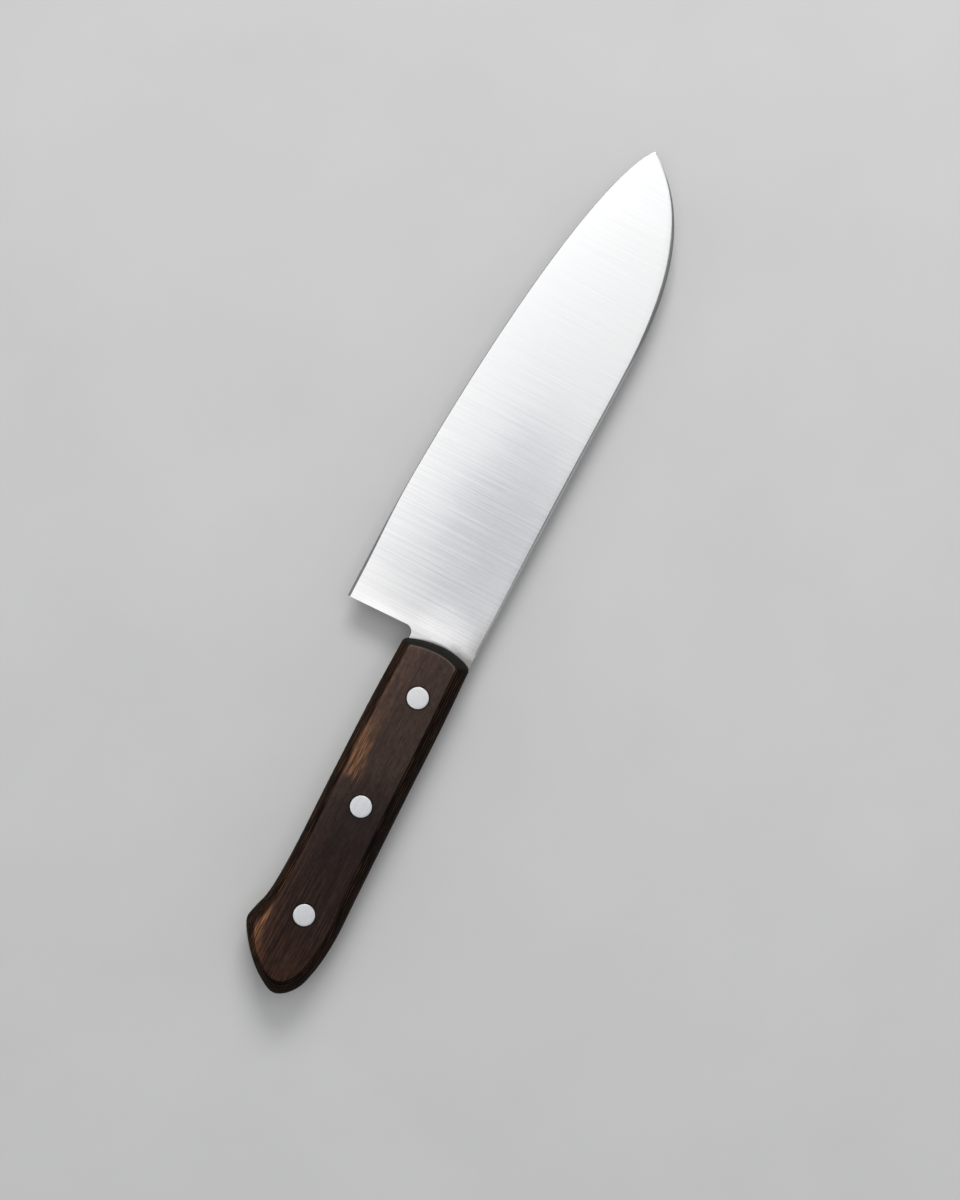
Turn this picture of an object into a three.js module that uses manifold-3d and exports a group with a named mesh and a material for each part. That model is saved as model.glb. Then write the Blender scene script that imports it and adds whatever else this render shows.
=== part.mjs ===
// Kitchen knife of the santoku kind: a full-tang steel blade between two laminated wood scales,
// held by three cutlery rivets, each in two halves.
//
// Millimetres. Pieces are drawn with x from the butt, y from the rivets' line towards the cutting
// edge, and z from the middle of the steel. The finished knife lies on its right scale with +X
// towards the tip, +Y towards the cutting edge and +Z up, over an origin at its box's bottom centre.
import * as THREE from "three";
import { mergeVertices } from "three/addons/utils/BufferGeometryUtils.js";
import Module from "manifold-3d";

const wasm = await Module();
wasm.setup();

// ---------- Driving dimensions ----------

const OVERALL = 292.3; // butt to tip
const HEEL_X = 122.3; // heel corner, so the blade is 170 long
const EDGE_Y = 34.9; // the straight part of the cutting edge
const STEEL_T = 2.0; // tang, and spine at the handle
const TIP_T = 0.9; // spine just behind the tip
const TAPER_POWER = 0.8; // below 1, so the spine thins a little faster near the handle
const NOSE_THINNING = 1.6; // the spine also thins where the blade is lower than 1/1.6 of its height
const SPINE_BREAK = 0.3; // chamfer along both corners of the spine
const GRIND_BELLY = 0.6; // how convex the ground faces are, from 0 for flat ones
const BEVEL_HEEL = 0.85; // width of the cutting bevel at the heel
const BEVEL_TIP = 0.2; // and along the rest of the edge
const BEVEL_FADE = [130, 165]; // x where it starts and stops narrowing
const SHOULDER_T = 0.46; // thickness behind the bevel at the heel
const SHOULDER_LEAST = 0.1; // and the least anywhere

const HANDLE_T = 18; // over both scales
const FACE = HANDLE_T / 2;
const SCALE_T = FACE - STEEL_T / 2;
const HANDLE_SPINE_Y = -12.35; // the handle's widest point on the spine side
const SIDE_POWER = 2.6; // how late the handle's sides turn in from the steel to the face

const RIVET_X = { rear: 27.3, middle: 65.7, front: 104.1 };
const HEAD_R = 3.5;
const HEAD_T = 2.0;
const UNDER_HEAD = FACE - HEAD_T; // from the middle of the steel to a head's underside
const SOCKET_R = 2.4; // tube of the female half
const BORE_R = 1.55; // hole in that tube
const PIN_R = 1.5; // pin of the male half
const FIT = 0.05; // radial room round every rivet part
const BORE_ROOF = 3.0; // solid steel between that hole and the head's underside
const TUBE_GAP = 0.2; // from the tube's end to the pin's head
const PIN_GAP = 0.5; // from the pin's end to the hole's end

const ROUND_SIDES = 36;
const SIDE_POINTS = 54; // steps along the handle's side outline, three to each row below

// ---------- Outlines ----------

// The spine rises very slightly from the handle, then drops to the tip in one curve. The cutting
// edge is straight from the heel, then sweeps up to the tip.
const TIP = new THREE.Vector2(OVERALL, 13.7);
const SPINE_START = new THREE.Vector2(119, -10.2);
const NOSE_START = new THREE.Vector2(229.8, -11.2);
const SWEEP_START = new THREE.Vector2(147.2, EDGE_Y);
const nose = new THREE.CubicBezierCurve(
  NOSE_START,
  new THREE.Vector2(258.2, -11.2),
  new THREE.Vector2(280.5, -4.6),
  TIP,
);
const sweep = new THREE.CubicBezierCurve(
  SWEEP_START,
  new THREE.Vector2(177.9, EDGE_Y),
  new THREE.Vector2(274.3, 29.0),
  TIP,
);

// Tang's lower edge where it leaves the handle, and the round that joins it to the heel.
const NOTCH_Y = 11.4;
const NOTCH_X = 122.9;
const NOTCH_R = 2.6;
const TANG_END_X = 120.6; // where the tang's full thickness gives way to the ground blade
const PLUNGE_END_X = 128; // and where the grind has fully begun
const PLUNGE_FADE_Y = [6, 32]; // the transition sinks away between these heights, so the heel has none

// Handle outline, from the spine's front corner round the butt to the belly's front corner. Each
// row is x and y on the widest outline, at the steel, then x and y on the flat face.
const SIDE_ROWS = [
  [119.4, -10.35, 117.9, -6.4],
  [100, -11.05, 100, -6.95],
  [70, -11.5, 70, -7.45],
  [40, -12.1, 40.5, -8.4],
  [22, HANDLE_SPINE_Y, 23, -9.2],
  [11.8, -11.1, 13, -7.8],
  [5, -8.95, 8, -5.85],
  [1.1, -5.4, 5.6, -3.5],
  [0, -2.2, 5, 0],
  [3, 3.9, 6.9, 4],
  [8.4, 9.9, 11.2, 8.8],
  [15.2, 14.9, 16, 11.7],
  [17.6, 15.8, 18.2, 12.4],
  [21.2, 15.1, 21.3, 11.5],
  [27, 13.5, 27.5, 10.45],
  [40, 12.7, 40.5, 9.8],
  [70, 13.05, 70, 10.35],
  [100, 13.2, 100, 10.45],
  [118.8, 12.85, 118, 10.15],
];
// Front end of the scales, bowed towards the blade, from the belly corner to the spine corner.
const FRONT_ROWS = [
  SIDE_ROWS.at(-1),
  [120.7, 7.1, 119, 5.6],
  [121.7, -0.8, 119.4, 1],
  [120.9, -6.4, 119, -3.2],
  SIDE_ROWS[0],
];

// ---------- Helpers ----------

function toSolid(geometry) {
  const bare = geometry.clone();
  bare.deleteAttribute("normal");
  bare.deleteAttribute("uv");
  const merged = mergeVertices(bare, 1e-4);
  return new wasm.Manifold(
    new wasm.Mesh({
      numProp: 3,
      vertProperties: merged.attributes.position.array,
      triVerts: new Uint32Array(merged.index.array),
    }),
  );
}

function toGeometry(solid) {
  const mesh = solid.getMesh();
  const geometry = new THREE.BufferGeometry();
  geometry.setAttribute("position", new THREE.BufferAttribute(mesh.vertProperties, 3));
  geometry.setIndex(new THREE.BufferAttribute(mesh.triVerts, 1));
  const flat = geometry.toNonIndexed();
  flat.computeVertexNormals();
  return flat;
}

// Flat triangles over a ring, wound the way the ring runs. across picks the two axes it lies in.
function capRing(ring, across) {
  const contour = ring.map((p) => new THREE.Vector2(p[across[0]], p[across[1]]));
  const triangles = THREE.ShapeUtils.triangulateShape(contour, []);
  const clockwise = THREE.ShapeUtils.isClockWise(contour);
  return clockwise ? triangles.map(([a, b, c]) => [c, b, a]) : triangles;
}

// Skin through rings of points, each with as many points and anticlockwise about the direction in
// which the rings follow each other, closed by a flat cap at both ends.
function loft(rings, across) {
  const count = rings[0].length;
  const index = [];
  for (let r = 0; r + 1 < rings.length; r++) {
    for (let i = 0; i < count; i++) {
      const a = r * count + i;
      const b = r * count + ((i + 1) % count);
      index.push(a, b, b + count, a, b + count, a + count);
    }
  }
  const last = (rings.length - 1) * count;
  for (const [a, b, c] of capRing(rings[0], across)) index.push(c, b, a);
  for (const [a, b, c] of capRing(rings.at(-1), across)) index.push(last + a, last + b, last + c);
  const geometry = new THREE.BufferGeometry().setFromPoints(rings.flat());
  geometry.setIndex(index);
  return geometry;
}

// An upright round bar of radius r from z = low to z = high, centred over x on the rivets' line.
function bar(r, low, high, x) {
  const geometry = new THREE.CylinderGeometry(r, r, high - low, ROUND_SIDES);
  geometry.rotateX(Math.PI / 2);
  geometry.translate(x, 0, (low + high) / 2);
  return toSolid(geometry);
}

function plate(shape, thickness) {
  const geometry = new THREE.ExtrudeGeometry(shape, {
    depth: thickness,
    bevelEnabled: false,
    curveSegments: 12,
  });
  geometry.translate(0, 0, -thickness / 2);
  return toSolid(geometry);
}

// y where a curve whose x only grows passes a given x.
function yAt(curve, x) {
  let low = 0;
  let high = 1;
  for (let i = 0; i < 40; i++) {
    const middle = (low + high) / 2;
    if (curve.getPoint(middle).x < x) low = middle;
    else high = middle;
  }
  return curve.getPoint(low).y;
}

// ---------- Blade and tang ----------

const { lerp, smoothstep, clamp } = THREE.MathUtils;

function spineY(x) {
  if (x > NOSE_START.x) return yAt(nose, x);
  const along = Math.max(0, (x - SPINE_START.x) / (NOSE_START.x - SPINE_START.x));
  return lerp(SPINE_START.y, NOSE_START.y, along ** 2);
}

function edgeY(x) {
  return x > SWEEP_START.x ? yAt(sweep, x) : EDGE_Y;
}

function bladeHeight(x) {
  return edgeY(x) - spineY(x);
}

function bevelWidth(x) {
  const width = lerp(BEVEL_HEEL, BEVEL_TIP, smoothstep(x, ...BEVEL_FADE));
  return Math.min(width, bladeHeight(x) / 3);
}

function chamferWidth(x) {
  return Math.min(SPINE_BREAK, bladeHeight(x) / 6);
}

// Half of the thickness behind the cutting bevel, whose angle stays the same along the blade.
function shoulderHalf(x) {
  return Math.max(SHOULDER_T * (bevelWidth(x) / BEVEL_HEEL), SHOULDER_LEAST) / 2;
}

// Half of the steel's thickness at a place on the ground blade. The grind is full height, slightly
// bellied, and fades into the tang's full thickness at the handle.
function groundHalf(x, y) {
  const along = clamp((x - HEEL_X) / (OVERALL - HEEL_X), 0, 1);
  const fullHeight = EDGE_Y - SPINE_START.y;
  const lowered = Math.min(1, (bladeHeight(x) / fullHeight) * NOSE_THINNING);
  const spine = (lerp(STEEL_T, TIP_T, along ** TAPER_POWER) / 2) * lowered;
  const shoulder = edgeY(x) - bevelWidth(x);
  const crest = spineY(x) + chamferWidth(x);
  const up = clamp((shoulder - y) / (shoulder - crest), 0, 1);
  const bellied = (1 + GRIND_BELLY) * up - GRIND_BELLY * up ** 2;
  const ground = lerp(shoulderHalf(x), Math.max(spine, shoulderHalf(x)), bellied);
  const lengthwise = 1 - smoothstep(x, TANG_END_X, PLUNGE_END_X);
  const crosswise = 1 - smoothstep(y, ...PLUNGE_FADE_Y);
  return lerp(ground, STEEL_T / 2, lengthwise * crosswise);
}

// Ring round the blade at one station: the cutting edge, the shoulder of the bevel, up the face to
// the chamfered spine and back down the other side.
function bladeRing(x) {
  const face = [0, 0.12, 0.3, 0.5, 0.75, 1].map((up) => {
    const y = lerp(edgeY(x) - bevelWidth(x), spineY(x) + chamferWidth(x), up);
    return [y, groundHalf(x, y)];
  });
  const crestHalf = face.at(-1)[1];
  const side = [...face, [spineY(x), Math.max(crestHalf - chamferWidth(x), crestHalf / 2)]];
  const upper = side.map(([y, z]) => new THREE.Vector3(x, y, z));
  const lower = side.map(([y, z]) => new THREE.Vector3(x, y, -z)).reverse();
  return [new THREE.Vector3(x, edgeY(x), 0), ...upper, ...lower];
}

function groundBlade() {
  const stations = [116, 120, 121.5, 123, 124.5, 126, 128, 134, 142];
  for (let x = 150; x < 280; x += 8) stations.push(x);
  for (const back of [10, 8, 6, 4.5, 3, 2, 1.2, 0.6, 0.02]) stations.push(OVERALL - back);
  return toSolid(loft(stations.map(bladeRing), ["y", "z"]));
}

// Everything behind the heel and below the tang, as a shape to cut away. It stands well clear of the
// steel, and its heel line runs a little past the cutting edge.
const CLEAR = 20;
const RUN_OUT = 0.5;

function notchShape() {
  const shape = new THREE.Shape();
  shape.moveTo(TANG_END_X - CLEAR, NOTCH_Y);
  shape.lineTo(NOTCH_X - NOTCH_R, NOTCH_Y);
  shape.absarc(NOTCH_X - NOTCH_R, NOTCH_Y + NOTCH_R, NOTCH_R, -Math.PI / 2, 0, false);
  shape.lineTo(HEEL_X, EDGE_Y + RUN_OUT);
  shape.lineTo(HEEL_X, EDGE_Y + CLEAR);
  shape.lineTo(TANG_END_X - CLEAR, EDGE_Y + CLEAR);
  shape.closePath();
  return shape;
}

// The tang is flush with the scales all round, but for the last stretch of the belly side, where
// it draws in to the notch.
const FLUSH_TO = { spine: 119, belly: 106 };
const DRAWN_IN = new THREE.Vector2(114, 11.7);

function tangShape() {
  const side = sideCurve(0).getPoints(SIDE_POINTS);
  const flush = side.filter((p) => p.x < (p.y < 0 ? FLUSH_TO.spine : FLUSH_TO.belly));
  return new THREE.Shape([
    new THREE.Vector2(TANG_END_X, spineY(TANG_END_X)),
    ...flush.map((p) => new THREE.Vector2(p.x, p.y)),
    DRAWN_IN,
    new THREE.Vector2(TANG_END_X, NOTCH_Y),
  ]);
}

function makeBlade() {
  let blade = groundBlade().subtract(plate(notchShape(), 3 * STEEL_T));
  blade = blade.add(plate(tangShape(), STEEL_T));
  for (const x of Object.values(RIVET_X)) {
    blade = blade.subtract(bar(SOCKET_R + FIT, -STEEL_T, STEEL_T, x));
  }
  return toGeometry(blade);
}

// ---------- Scales ----------

// A row's outline point, blended from the widest outline (0) to the face's (1).
function blendRow(row, share) {
  return new THREE.Vector3(lerp(row[0], row[2], share), lerp(row[1], row[3], share), 0);
}

function sideCurve(share) {
  const points = SIDE_ROWS.map((row) => blendRow(row, share));
  return new THREE.CatmullRomCurve3(points, false, "centripetal");
}

function frontCurve(share) {
  const points = FRONT_ROWS.map((row) => blendRow(row, share));
  return new THREE.CatmullRomCurve3(points, false, "centripetal");
}

function scaleRing(height) {
  const share = (height / SCALE_T) ** SIDE_POWER;
  const side = sideCurve(share).getPoints(SIDE_POINTS).slice(0, -1);
  const front = frontCurve(share).getPoints(8).slice(0, -1);
  const z = STEEL_T / 2 + height;
  return [...side, ...front].map((p) => p.setZ(z)).reverse();
}

function makeScale() {
  const heights = [0, 0.35, 0.55, 0.72, 0.87, 1].map((share) => share * SCALE_T);
  let scale = toSolid(loft(heights.map(scaleRing), ["x", "y"]));
  for (const x of Object.values(RIVET_X)) {
    scale = scale.subtract(bar(SOCKET_R + FIT, 0, HANDLE_T, x));
    scale = scale.subtract(bar(HEAD_R + FIT, UNDER_HEAD, HANDLE_T, x));
  }
  return toGeometry(scale);
}

// ---------- Rivets ----------

// Profiles are [radius, height] pairs, turned round the rivet's own axis.
function turned(profile) {
  const points = profile.map(([r, z]) => new THREE.Vector2(r, z));
  const geometry = new THREE.LatheGeometry(points, ROUND_SIDES);
  geometry.rotateX(Math.PI / 2);
  return toGeometry(toSolid(geometry));
}

// Female half: a flat head flush with the left scale, and a tube through the tang.
function makeSocket() {
  const boreEnd = UNDER_HEAD - BORE_ROOF;
  const tubeEnd = TUBE_GAP - UNDER_HEAD;
  return turned([
    [0, boreEnd],
    [BORE_R, boreEnd],
    [BORE_R, tubeEnd],
    [SOCKET_R, tubeEnd],
    [SOCKET_R, UNDER_HEAD],
    [HEAD_R, UNDER_HEAD],
    [HEAD_R, FACE],
    [0, FACE],
  ]);
}

// Male half: a flat head flush with the right scale, and a pin pressed into the tube.
function makePin() {
  const pinEnd = UNDER_HEAD - BORE_ROOF - PIN_GAP;
  return turned([
    [0, -FACE],
    [HEAD_R, -FACE],
    [HEAD_R, -UNDER_HEAD],
    [PIN_R, -UNDER_HEAD],
    [PIN_R, pinEnd],
    [0, pinEnd],
  ]);
}

// ---------- Assembly ----------

const steel = new THREE.MeshStandardMaterial({ color: 0xc9cccf, roughness: 0.3, metalness: 1 });
const wood = new THREE.MeshStandardMaterial({ color: 0x3a2a24, roughness: 0.45, metalness: 0 });
const rivetMetal = new THREE.MeshStandardMaterial({ color: 0xbfc1c4, roughness: 0.4, metalness: 1 });

const knife = new THREE.Group();
const pieces = new THREE.Group();
pieces.position.set(-OVERALL / 2, -(EDGE_Y + HANDLE_SPINE_Y) / 2, FACE);
knife.add(pieces);

function addPiece(name, geometry, material) {
  const mesh = new THREE.Mesh(geometry, material);
  mesh.name = name;
  pieces.add(mesh);
  return mesh;
}

addPiece("blade", makeBlade(), steel);
addPiece("scale_left", makeScale(), wood);
addPiece("scale_right", makeScale(), wood).scale.z = -1;
for (const [place, x] of Object.entries(RIVET_X)) {
  addPiece(`${place}_rivet_socket`, makeSocket(), rivetMetal).position.x = x;
  addPiece(`${place}_rivet_pin`, makePin(), rivetMetal).position.x = x;
}

export default knife;
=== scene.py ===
"""Looks of a santoku kitchen knife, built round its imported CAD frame.

Pieces are drawn in knife millimetres, the units and axes of the CAD source: x from the butt towards
the tip, y from the rivets' line towards the cutting edge, z up from the middle of the steel. place()
turns them into metres in the frame. Outlines and hidden sizes repeat the CAD source's, and the other
places and sizes are read from the frame.
"""

import math

import bmesh
import bpy
import numpy as np
from mathutils import Matrix, Vector
from mathutils.geometry import delaunay_2d_cdt


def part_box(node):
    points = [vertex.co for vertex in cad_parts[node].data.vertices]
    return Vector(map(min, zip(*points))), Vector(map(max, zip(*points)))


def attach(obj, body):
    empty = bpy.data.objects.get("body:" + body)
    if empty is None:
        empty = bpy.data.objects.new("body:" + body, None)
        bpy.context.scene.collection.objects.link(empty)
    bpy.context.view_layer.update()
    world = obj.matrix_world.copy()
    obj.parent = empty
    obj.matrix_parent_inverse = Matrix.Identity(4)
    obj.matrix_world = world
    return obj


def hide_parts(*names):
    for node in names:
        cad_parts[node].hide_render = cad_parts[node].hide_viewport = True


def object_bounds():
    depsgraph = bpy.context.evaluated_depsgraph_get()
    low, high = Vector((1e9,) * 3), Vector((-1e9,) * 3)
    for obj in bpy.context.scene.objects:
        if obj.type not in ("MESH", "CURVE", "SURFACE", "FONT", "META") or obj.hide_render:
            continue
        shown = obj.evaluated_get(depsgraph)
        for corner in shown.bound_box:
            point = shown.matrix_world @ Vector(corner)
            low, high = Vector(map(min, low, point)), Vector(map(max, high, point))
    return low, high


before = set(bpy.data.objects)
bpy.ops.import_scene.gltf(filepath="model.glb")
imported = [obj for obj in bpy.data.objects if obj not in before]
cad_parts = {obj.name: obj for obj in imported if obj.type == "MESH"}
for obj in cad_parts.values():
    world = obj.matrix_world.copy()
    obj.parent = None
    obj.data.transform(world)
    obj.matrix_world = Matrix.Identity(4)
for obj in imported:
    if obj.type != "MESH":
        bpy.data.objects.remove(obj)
cad_low, cad_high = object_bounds()

MM = 0.001

# ---------- Places and sizes from the frame ----------

blade_low, blade_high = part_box("blade")
scale_low, scale_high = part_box("scale_left")
RIVETS = ("front", "middle", "rear")
pin_low, pin_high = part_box("middle_rivet_pin")

ORIGIN = Vector((scale_low.x, (pin_low.y + pin_high.y) / 2, (blade_low.z + blade_high.z) / 2))


def place(x, y, z):
    """A point in knife millimetres, as metres in the frame."""
    return ORIGIN + Vector((x, y, z)) * MM


def knife_x(metres):
    return (metres - ORIGIN.x) / MM


def knife_xy(vertex):
    return (knife_x(vertex.co.x), (vertex.co.y - ORIGIN.y) / MM)


OVERALL = knife_x(blade_high.x)
EDGE_Y = (blade_high.y - ORIGIN.y) / MM
STEEL_T = (blade_high.z - blade_low.z) / MM
HANDLE_T = (scale_high.z - ORIGIN.z) / MM * 2
FACE = HANDLE_T / 2
SCALE_T = (HANDLE_T - STEEL_T) / 2
HEAD_R = (pin_high.x - pin_low.x) / MM / 2
RIVET_X = {}
for rivet in RIVETS:
    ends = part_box(f"{rivet}_rivet_pin")
    RIVET_X[rivet] = knife_x((ends[0].x + ends[1].x) / 2)

# Sizes of the steel, as in the CAD source.
HEEL_X = 122.3
TIP_T = 0.9
TAPER_POWER = 0.8  # below 1, so the spine thins a little faster near the handle
NOSE_THINNING = 1.6  # the spine also thins where the blade is lower than 1/1.6 of its height
GRIND_BELLY = 0.6  # how convex the ground faces are, from 0 for flat ones
BEVEL_HEEL = 0.85  # width of the cutting bevel at the heel
BEVEL_TIP = 0.2  # and along the rest of the edge
BEVEL_FADE = (130, 165)  # x where it starts and stops narrowing
SHOULDER_T = 0.46  # thickness behind the bevel at the heel

# Sizes of the rivets, as in the CAD source.
HEAD_T = 2.0
UNDER_HEAD = FACE - HEAD_T
SOCKET_R = 2.4  # tube of the female half
BORE_R = 1.55  # hole in that tube
PIN_R = 1.5  # pin of the male half
FIT = 0.05  # radial room round every rivet part
BORE_ROOF = 3.0  # solid steel between that hole and the head's underside
TUBE_GAP = 0.2  # from the tube's end to the pin's head
PIN_GAP = 0.5  # from the pin's end to the hole's end

# Outlines, as in the CAD source.
TIP = (OVERALL, 13.7)
SPINE_START = (119.0, -10.2)
NOSE_START = (229.8, -11.2)
SWEEP_START = (147.2, EDGE_Y)
NOSE = (NOSE_START, (258.2, -11.2), (280.5, -4.6), TIP)
SWEEP = (SWEEP_START, (177.9, EDGE_Y), (274.3, 29.0), TIP)
NOTCH_Y = 11.4
NOTCH_X = 122.9
NOTCH_R = 2.6
TANG_END_X = 120.6  # where the tang's full thickness gives way to the ground blade
PLUNGE_END_X = 128.0  # and where the grind has fully begun
PLUNGE_FADE_Y = (6, 32)  # the transition sinks away between these heights, so the heel has none
TANG_FLUSH_TO = 106  # where the tang leaves the scales' outline on the belly side

# The handle's outline from the spine's front corner round the butt to the belly's front corner. Each
# row is x and y on the widest outline, at the steel, then x and y on the face's outline.
SIDE_ROWS = (
    (119.4, -10.35, 117.9, -6.4),
    (100, -11.05, 100, -6.95),
    (70, -11.5, 70, -7.45),
    (40, -12.1, 40.5, -8.4),
    (22, -12.35, 23, -9.2),
    (11.8, -11.1, 13, -7.8),
    (5, -8.95, 8, -5.85),
    (1.1, -5.4, 5.6, -3.5),
    (0, -2.2, 5, 0),
    (3, 3.9, 6.9, 4),
    (8.4, 9.9, 11.2, 8.8),
    (15.2, 14.9, 16, 11.7),
    (17.6, 15.8, 18.2, 12.4),
    (21.2, 15.1, 21.3, 11.5),
    (27, 13.5, 27.5, 10.45),
    (40, 12.7, 40.5, 9.8),
    (70, 13.05, 70, 10.35),
    (100, 13.2, 100, 10.45),
    (118.8, 12.85, 118, 10.15),
)
# The handle's front, from the belly's corner back to the spine's.
FRONT_ROWS = (
    SIDE_ROWS[-1],
    (120.7, 7.1, 119, 5.6),
    (121.7, -0.8, 119.4, 1),
    (120.9, -6.4, 119, -3.2),
    SIDE_ROWS[0],
)
SIDE_POWER = 2.6  # how late the handle's sides turn in from the steel to the face
FRONT_X = 121.75  # the middle of the handle's front
FRONT_BOW = 0.0235  # and how fast it falls back, in millimetres for the square of y

# ---------- Curves ----------

TINY = 1e-6  # keeps divisions clear of zero
BISECTIONS = 40


def lerp(a, b, t):
    return a + (b - a) * t


def clamp(value, low=0.0, high=1.0):
    return max(low, min(high, value))


def smoothstep(value, low, high):
    t = clamp((value - low) / (high - low))
    return t * t * (3 - 2 * t)


def bezier(points, t):
    """A cubic Bezier curve's point at t."""
    a, b, c, d = (np.array(p, float) for p in points)
    s = 1 - t
    return a * s**3 + b * (3 * s * s * t) + c * (3 * s * t * t) + d * t**3


def y_at(curve, x):
    """y where a Bezier curve whose x only grows passes x."""
    low, high = 0.0, 1.0
    for _ in range(BISECTIONS):
        middle = (low + high) / 2
        if bezier(curve, middle)[0] < x:
            low = middle
        else:
            high = middle
    return float(bezier(curve, low)[1])


def spacing(a, b):
    """A centripetal curve's parameter step between two of its points."""
    return max(np.linalg.norm(b - a), TINY) ** 0.5


def catmull_rom(points, steps):
    """A centripetal Catmull-Rom curve through the points, with that many steps to each stretch."""
    p = [np.array(q, float) for q in points]
    p = [2 * p[0] - p[1], *p, 2 * p[-1] - p[-2]]
    curve = []
    for a, b, c, d in zip(p, p[1:], p[2:], p[3:]):
        t1, t2, t3 = spacing(a, b), spacing(b, c), spacing(c, d)
        slope_b = ((b - a) / t1 - (c - a) / (t1 + t2) + (c - b) / t2) * t2
        slope_c = ((c - b) / t2 - (d - b) / (t2 + t3) + (d - c) / t3) * t2
        for i in range(steps):
            t = i / steps
            curve.append(
                (2 * t**3 - 3 * t**2 + 1) * b
                + (t**3 - 2 * t**2 + t) * slope_b
                + (3 * t**2 - 2 * t**3) * c
                + (t**3 - t**2) * slope_c
            )
    curve.append(p[-2])
    return curve


# ---------- Mesh helpers ----------


def add_brushing_map(mesh):
    """A UV map whose u follows x, which turns the steel's highlights across its brushing."""
    layer = mesh.uv_layers.new(name="brushing")
    corners = np.empty(len(mesh.loops), int)
    mesh.loops.foreach_get("vertex_index", corners)
    places = np.empty(len(mesh.vertices) * 3)
    mesh.vertices.foreach_get("co", places)
    layer.data.foreach_set("uv", places.reshape(-1, 3)[corners, :2].ravel())


def add_piece(name, bm, node, material, sharp_deg, creases=()):
    """Edges that bend by sharp_deg or more, and the creases, are shaded sharp.
    """
    bmesh.ops.recalc_face_normals(bm, faces=bm.faces)
    for face in bm.faces:
        face.smooth = True
    for edge in bm.edges:
        edge.smooth = edge.calc_face_angle(0) < math.radians(sharp_deg)
    for edge in creases:
        edge.smooth = False
    mesh = bpy.data.meshes.new(name)
    bm.to_mesh(mesh)
    bm.free()
    mesh.materials.append(material)
    add_brushing_map(mesh)
    piece = bpy.data.objects.new(name, mesh)
    bpy.context.collection.objects.link(piece)
    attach(piece, "root")
    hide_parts(node)


def bridge(bm, a, b, closed=False):
    """Quads between two rows of vertices, or triangles where these meet."""
    count = len(a)
    for i in range(count if closed else count - 1):
        j = (i + 1) % count
        corners = []
        for v in (a[i], a[j], b[j], b[i]):
            if v not in corners:
                corners.append(v)
        if len(corners) > 2:
            bm.faces.new(corners)


ROUND_SIDES = 72


def ring_of(bm, x, z, radius):
    """A level, round row of vertices about the upright axis at x on the rivets' line."""
    angles = (2 * math.pi * i / ROUND_SIDES for i in range(ROUND_SIDES))
    return [bm.verts.new(place(x + radius * math.cos(a), radius * math.sin(a), z)) for a in angles]


def turned(profile, x):
    """A solid of revolution about the same axis, from (radius, z) pairs."""
    bm = bmesh.new()
    rows = []
    for radius, z in profile:
        if radius == 0:
            rows.append([bm.verts.new(place(x, 0, z))] * ROUND_SIDES)
        else:
            rows.append(ring_of(bm, x, z, radius))
    for a, b in zip(rows, rows[1:]):
        bridge(bm, a, b, closed=True)
    return bm


def inside(point, ring):
    """Whether a point lies inside a closed outline, by counting crossings."""
    x, y = point
    ax, ay = ring.T
    bx, by = np.roll(ring, -1, axis=0).T
    crossing = (ay > y) != (by > y)
    at = ax + (y - ay) / np.where(crossing, by - ay, 1) * (bx - ax)
    return bool((crossing & (x < at)).sum() % 2)


ENCLOSED = 1  # the triangulation's mode that drops what its edges don't enclose
SAME_POINT = 1e-5  # millimetres within which it takes two points as one
# Twice the area, in square millimetres, of the largest triangle that is dropped as a sliver along a
# straight stretch of the outline.
SLIVER = 1e-4


def fill(bm, outline, holes, inner=(), height=None):
    """Triangles over a nearly level area inside an outline and outside round holes.

    outline is a closed row of vertices and holes are pairs of a row and its centre and radius.
    inner lists further (x, y) points, and height gives z at each of them.
    """
    rows = [outline] + [row for row, _ in holes]
    verts = [v for row in rows for v in row]
    points = [Vector(knife_xy(v)) for v in verts]
    edges, first = [], 0
    for row in rows:
        edges += [(first + i, first + (i + 1) % len(row)) for i in range(len(row))]
        first += len(row)
    points += [Vector(p) for p in inner]
    area = [list(range(len(outline)))]
    found = delaunay_2d_cdt(points, edges, area, ENCLOSED, SAME_POINT, True)
    spots, triangles, sources = found[0], found[2], found[3]
    corners = []
    for spot, origins in zip(spots, sources):
        known = [i for i in origins if i < len(verts)]
        corners.append(verts[known[0]] if known else bm.verts.new(place(*spot, height(*spot))))
    border = np.array(points[: len(outline)])
    for face in triangles:
        a, b, c = (spots[i] for i in face)
        middle = (a + b + c) / 3
        clear = all((middle - Vector(centre)).length > radius for _, (centre, radius) in holes)
        if clear and abs((b - a).cross(c - a)) > SLIVER and inside(middle, border):
            bm.faces.new([corners[i] for i in face])


# ---------- Blade ----------


def spine_y(x):
    if x > NOSE_START[0]:
        return y_at(NOSE, x)
    along = max(0.0, (x - SPINE_START[0]) / (NOSE_START[0] - SPINE_START[0]))
    return lerp(SPINE_START[1], NOSE_START[1], along**2)


def edge_y(x):
    return y_at(SWEEP, x) if x > SWEEP_START[0] else EDGE_Y


def bevel_width(x):
    """Width of the cutting bevel: widest at the heel, and never over a third of the blade's height."""
    width = lerp(BEVEL_HEEL, BEVEL_TIP, smoothstep(x, *BEVEL_FADE))
    return min(width, (edge_y(x) - spine_y(x)) / 3)


# How far the spine's rounding reaches into the face, most on the dropped nose: its width at the handle,
# then stretches of x over which it changes and its width after each.
ROLL_AT_HANDLE = 0.12
ROLL_WIDTHS = ((120, 127, 0.6), (127, 200, 1.1), (215, 255, 2.6), (266, 286, 1.2))
# Its shape, as share of its width against share of the thickness, from the crest to the face.
ROLL_SHAPE = ((0, 0), (0.02, 0.06), (0.12, 0.23), (0.24, 0.41), (0.5, 0.78), (0.76, 0.94), (1, 1))
ROLL_STEPS = 2


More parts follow.
